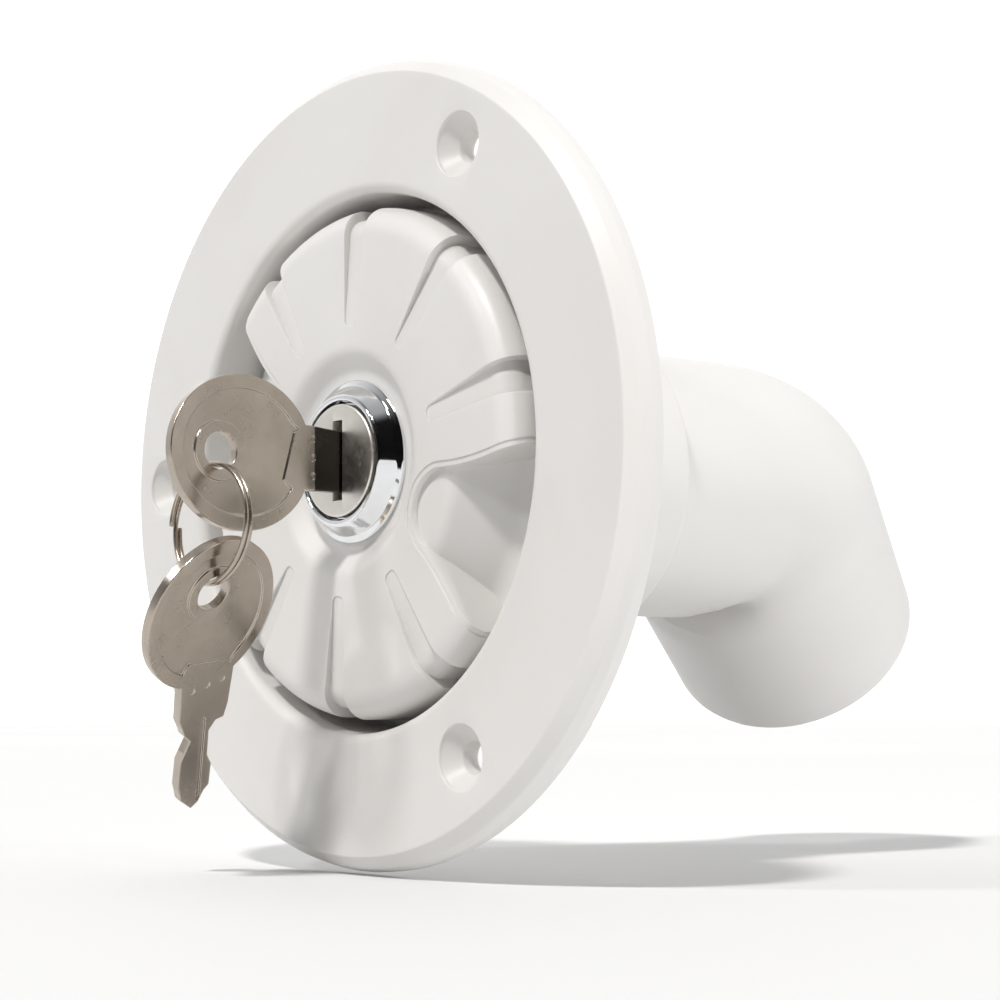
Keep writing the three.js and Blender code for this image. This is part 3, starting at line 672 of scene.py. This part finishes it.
def lock_plug():
    plug = lathe("lock_core", [
        (0, LOCK_FACE, 0), (9.6, LOCK_FACE, 0.35), (9.6, -6.9, 0.1), (7.2, -6.9, 0), (7.2, 14.3, 0.2),
        (4, 14.3, 0), (4, 17.4, 0.2), (0, 17.4, 0),
    ], 128)
    for side in (-1, 1):
        boolean(plug, box("flat", sorted((side * 3, side * 9)), (14.3, 30), (-9, 9)))
    for i in range(5):
        middle = -3.4 + 2.9 * i
        span = (middle - 0.75, middle + 0.75)
        boolean(plug, box("wafer_slot", (-2.9, 2.9), span, (-9, 9)))
        boolean(plug, box("ear_slot", (2, 5.3), span, (-4.3, 3)))
    boolean(plug, box("keyway_head", (-1.3, 1.3), (-20, LOCK_FACE + 3.1), (-6.8, 6.8)))
    boolean(plug, box("keyway", (-1.3, 1.3), (-20, 12.2), (-5.3, 2.6)))
    boolean(plug, lathe("screw_hole", [(0, 12.9, 0), (1.95, 12.9, 0), (1.95, 30, 0), (0, 30, 0)], 24))
    bevelled(plug, 0.1, 60, 2)
    return finish(smooth(plug), PLUG_METAL, "plug", "lock_plug")


# ---- keys -----------------------------------------------------------------------------------------

BOW = (4.4, 0.0, 14.0, 12.9)                     # centre u and v, long and wide semi-axes
NECK_HALF = 5.5
LOW_SIDE = ((24.2, -5.5), (26.4, -4.6), (27.6, -4.2), (29.3, -2.9), (31.4, -3.9), (33, -4.7),
            (38.4, -4.9))
TIP = ((41.8, -4.1), (44.5, -1.8), (43.7, -0.3), (41.7, 0.8))
HIGH_SIDE = ((40.8, 1.9), (36.3, 2.1), (34, 1.1), (28.7, 1.1), (27.1, 2.4), (27.1, 4.1), (24.1, 4.9))


def ellipse(centre_u, centre_v, long, wide, start, end, count):
    return [(centre_u + long * math.cos(a), centre_v + wide * math.sin(a))
            for a in np.linspace(start, end, count)]


def flat_shape(name, loops, half, bevel):
    """A flat plate from closed loops in u and v, the first the outline and the others holes."""
    curve = bpy.data.curves.new(name, "CURVE")
    curve.dimensions = "2D"
    curve.fill_mode = "BOTH"
    curve.extrude = (half - bevel) * MM
    curve.bevel_depth = bevel * MM
    curve.bevel_resolution = 2
    curve.offset = -bevel * MM
    for loop in loops:
        spline = curve.splines.new("POLY")
        spline.points.add(len(loop) - 1)
        for point, (u, v) in zip(spline.points, loop):
            point.co = (u * MM, v * MM, 0, 1)
        spline.use_cyclic_u = True
    drawn = bpy.data.objects.new(name, curve)
    bpy.context.scene.collection.objects.link(drawn)
    bpy.context.view_layer.update()
    mesh = bpy.data.meshes.new_from_object(drawn.evaluated_get(bpy.context.evaluated_depsgraph_get()))
    bpy.data.objects.remove(drawn)
    obj = bpy.data.objects.new(name, mesh)
    bpy.context.scene.collection.objects.link(obj)
    return face_out(obj)


def circle_loop(radius, count=48):
    return ellipse(0, 0, radius, radius, 0, TURN * (1 - 1 / count), count)


def key_blank(name):
    """A stamped key: raised rim round a sunk bow field, raised ring at the hole, groove and cuts."""
    turn = math.asin(NECK_HALF / BOW[3])
    outline = ellipse(*BOW, turn, TURN - turn, 110) + list(LOW_SIDE + TIP + HIGH_SIDE)
    blank = flat_shape(name, [outline, circle_loop(KEY_HOLE)], KEY_HALF, 0.22)
    rim = 2.3
    field = ellipse(BOW[0], 0, BOW[2] - rim, BOW[3] - rim, math.radians(32), math.radians(330), 90)
    field += [(13.6, -4.9), (12.7, -4.0), (14.9, 4.0), (15.8, 4.6)]
    ring = circle_loop(4.9)
    for side in (-1, 1):
        sunk = flat_shape("field", [field, ring], 0.5, 0.3)
        sunk.data.transform(Matrix.Translation((0, 0, side * (KEY_HALF + 0.5 - 0.36) * MM)))
        boolean(blank, sunk)
    groove_loop = [(25.6, -0.75), (25.2, -0.3), (25.6, 0.15), (43.2, -0.05), (43.2, -0.95)]
    groove = flat_shape("groove", [groove_loop], 0.6, 0.15)
    groove.data.transform(Matrix.Translation((0, 0, (KEY_HALF + 0.6 - 0.35) * MM)))
    boolean(blank, groove)
    for i in (-1, 0, 1):
        dimple = lathe("dimple", [(0, -1, 0), (0.85, -1, 0), (0.55, 0.12, 0.1), (0, 0.2, 0)], 24)
        dimple.data.transform(Matrix.Rotation(math.radians(-90), 4, "X"))
        dimple.data.transform(Matrix.Translation(Vector((18.6, 3.1 * i, KEY_HALF)) * MM))
        boolean(blank, dimple)
    bevelled(blank, 0.07, 50, 1)
    smooth(blank, 30)
    flats = blank.modifiers.new("flats", "WEIGHTED_NORMAL")
    flats.keep_sharp = True
    return bake(blank)


def keys():
    first = key_blank("key_in_lock")
    first.data.transform(basis((0, KEY_1_HOLE_Y, 0), (0, 1, 0), (0, 0, 1)))
    finish(first, NICKEL, "key", "key_1")
    second = key_blank("spare_key_blade")
    second.data.transform(basis(KEY_2_HOLE, KEY_2_TIP, KEY_2_ACROSS))
    finish(second, NICKEL, "spare_key", "key_2")


def split_ring():
    """Two turns of round wire, thinned slightly at the ends, which are cut square."""
    steps, turns, sides = 300, 2, 14
    cosine, sine = circle_points(sides)
    rings = []
    for i in range(steps + 1):
        t = i / steps
        angle = t * turns * TURN
        radial = np.array((math.cos(angle), math.sin(angle), 0))
        centre = RING_R * radial + np.array((0, 0, RING_PITCH * turns * (t - 0.5)))
        taper = 1 - 0.25 * max(0, 1 - min(t, 1 - t) * steps / 1.5)
        rings.append(centre + RING_WIRE * taper * (np.outer(cosine, radial)
                                                   + np.outer(sine, (0, 0, 1))))
    ring = skin("key_ring", rings, closed=False)
    ring.data.transform(basis(RING_CENTRE, RING_RIGHT, RING_UP))
    return finish(smooth(ring, 45), NICKEL, "ring", "split_ring")


# ---- camera, light and floor ----------------------------------------------------------------------


def camera():
    """The photograph's viewing angle, aimed at the middle of the flange's front face."""
    azimuth, elevation, distance = math.radians(52.669), math.radians(-6.167), 0.3942
    target = Vector((0, FLANGE_FRONT * MM, 0))
    away = Vector((math.sin(azimuth) * math.cos(elevation), -math.cos(azimuth) * math.cos(elevation),
                   math.sin(elevation)))
    data = bpy.data.cameras.new("camera")
    data.sensor_width = 36
    data.lens = 83.8
    data.shift_x = 0.150
    data.shift_y = -0.0385
    data.clip_start = 0.01
    view = bpy.data.objects.new("camera", data)
    view.location = target + away * distance
    view.rotation_euler = (target - view.location).to_track_quat("-Z", "Y").to_euler()
    bpy.context.scene.collection.objects.link(view)
    bpy.context.scene.camera = view
    return view


def distant_light(name, toward, strength, angle, colour=(1, 1, 1)):
    data = bpy.data.lights.new(name, "SUN")
    data.energy = strength
    data.angle = math.radians(angle)
    data.color = colour
    lamp = bpy.data.objects.new(name, data)
    lamp.rotation_euler = (-Vector(toward)).to_track_quat("-Z", "Y").to_euler()
    bpy.context.scene.collection.objects.link(lamp)
    return lamp


def sky():
    """Soft light, brightest behind and left of the object, with a dark side for the metal to mirror. The
    background itself is plain white from every side."""
    world = bpy.data.worlds.new("studio")
    world.use_nodes = True
    tree = world.node_tree
    place = tree.nodes.new("ShaderNodeTexCoord")
    parts = tree.nodes.new("ShaderNodeSeparateXYZ")
    tree.links.new(place.outputs["Generated"], parts.inputs["Vector"])
    away = tree.nodes.new("ShaderNodeVectorMath")
    away.operation = "DOT_PRODUCT"
    away.inputs[1].default_value = Vector((0.60, -0.78, 0.12)).normalized()
    tree.links.new(place.outputs["Generated"], away.inputs[0])
    bands = []
    for source, low, high, dark, bright in ((parts.outputs["Y"], -0.6, 0.3, 0.15, 0.8),
                                            (parts.outputs["X"], -0.2, -0.8, 0.0, 0.55),
                                            (away.outputs["Value"], 0.45, 0.66, 1.0, 0.03)):
        band = tree.nodes.new("ShaderNodeMapRange")
        band.interpolation_type = "SMOOTHSTEP"
        for name, value in (("From Min", low), ("From Max", high), ("To Min", dark), ("To Max", bright)):
            band.inputs[name].default_value = value
        tree.links.new(source, band.inputs["Value"])
        bands.append(band.outputs["Result"])
    total = tree.nodes.new("ShaderNodeMath")
    total.operation = "MULTIPLY_ADD"
    tree.links.new(bands[0], total.inputs[0])
    tree.links.new(bands[2], total.inputs[1])
    tree.links.new(bands[1], total.inputs[2])
    seen = tree.nodes.new("ShaderNodeMath")
    seen.operation = "MAXIMUM"
    tree.links.new(total.outputs["Value"], seen.inputs[0])
    tree.links.new(tree.nodes.new("ShaderNodeLightPath").outputs["Is Camera Ray"], seen.inputs[1])
    tree.links.new(seen.outputs["Value"], tree.nodes["Background"].inputs["Strength"])
    tree.nodes["Background"].inputs["Color"].default_value = (1.0, 1.0, 1.0, 1)
    bpy.context.scene.world = world


def studio():
    sky()
    bpy.context.scene.view_settings.view_transform = "Standard"
    distant_light("key_light", (0.21, -0.6, 0.88), 2.05, 6, (1.0, 0.985, 0.97))
    distant_light("left_light", (-0.28, -1.0, 0.85), 0.7, 7)
    side_light = distant_light("side_light", (0.97, 0.02, 0.03), 1.75, 12)
    side_light.visible_glossy = False
    material = Nodes("floor_white")
    cloud = material.band(material.noise(1.2, 2), 0.3, 0.7)
    material.link(material.mix(cloud, (0.77, 0.77, 0.77), (0.75, 0.75, 0.75)),
                  material.shader.inputs["Base Color"])
    material.shader.inputs["Roughness"].default_value = 0.8
    floor = make("floor", [(-4000, -4000, 0), (4000, -4000, 0), (4000, 4000, 0), (-4000, 4000, 0)],
                 [(0, 1, 2, 3)])
    floor.data.transform(Matrix.Translation((0, 0, CAD_BOX[0][2] - 0.0006)))
    floor.data.materials.append(material.material)


# ---- the whole --------------------------------------------------------------------------------------

CARRIED = {
    "cap_plug": PLUG_WHITE, "cap_gasket": RUBBER, "lock_o_ring": RUBBER, "lock_nut": ZINC,
    "lock_cam": STEEL, "lock_bolt": ZINC, "cam_washer": STEEL, "cam_screw": STEEL,
}
CARRIED.update({f"cap_screw_{i}": STEEL for i in range(1, 5)})
CARRIED.update({f"wafer_{i}": BRASS for i in range(1, 6)})
CARRIED.update({f"wafer_spring_{i}": STEEL for i in range(1, 6)})

camera()
studio()
filler_body()
hose_elbow()
cap_cover()
lock_barrel()
lock_plug()
keys()
split_ring()
for name, material in CARRIED.items():
    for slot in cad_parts[name].material_slots:
        slot.material = material
